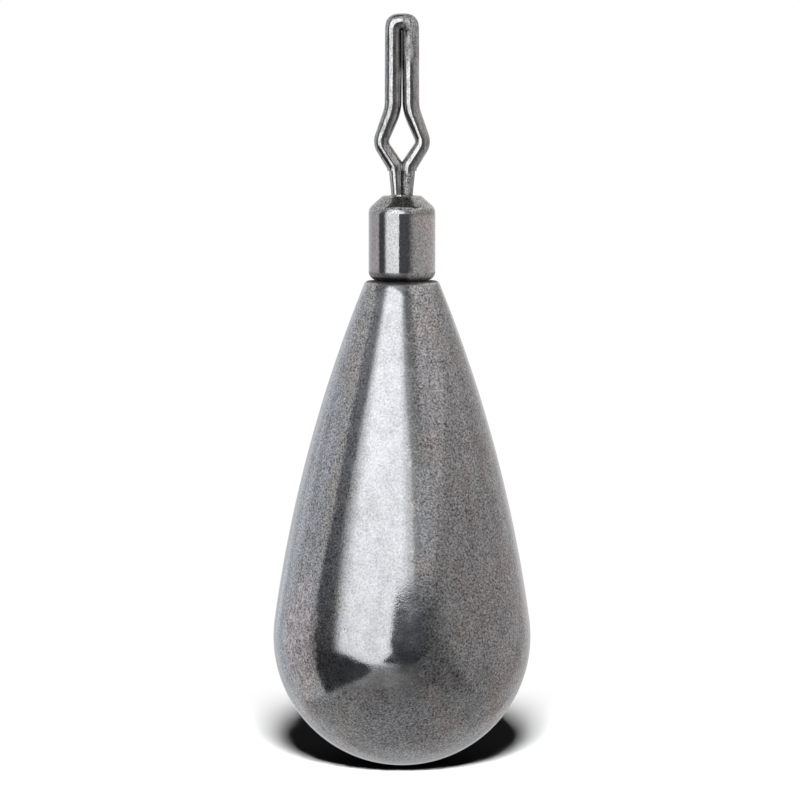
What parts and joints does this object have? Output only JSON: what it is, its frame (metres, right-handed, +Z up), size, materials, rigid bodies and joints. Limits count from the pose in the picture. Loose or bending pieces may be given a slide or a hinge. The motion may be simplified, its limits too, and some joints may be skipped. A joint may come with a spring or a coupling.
{
  "type": "fishing sinker",
  "caption": "Teardrop tungsten drop-shot fishing sinker that hangs from a barrel swivel with a bent-wire pinch clip and line eye.",
  "frame": {"origin": "middle of the line eye, where the line holds the sinker", "axes": "+Z up along the swivel's axis, from the weight to the clip; the line eye opens along Y, and the clip's two legs lie side by side along X"},
  "size_m": [0.0098, 0.0098, 0.0285],
  "materials": {
    "clip_wire": "gloss",
    "plated_barrel": "gloss",
    "pin_steel": "satin",
    "epoxy": "gloss",
    "tungsten_alloy": "satin"
  },
  "bodies": {
    "clip": {"line_clip": "clip_wire"},
    "barrel": {"swivel_barrel": "plated_barrel"},
    "weight": {"weight_body": "tungsten_alloy", "anchor_pin": "pin_steel", "bond_epoxy": "epoxy"}
  },
  "joints": [
    {"name": "barrel_spin", "type": "hinge", "parent": "clip", "child": "barrel", "pos_m": [0, 0, -0.00203], "axis": [0, 0, 1], "continuous": true},
    {"name": "weight_spin", "type": "hinge", "parent": "barrel", "child": "weight", "pos_m": [0, 0, -0.00521], "axis": [0, 0, 1], "continuous": true}
  ]
}
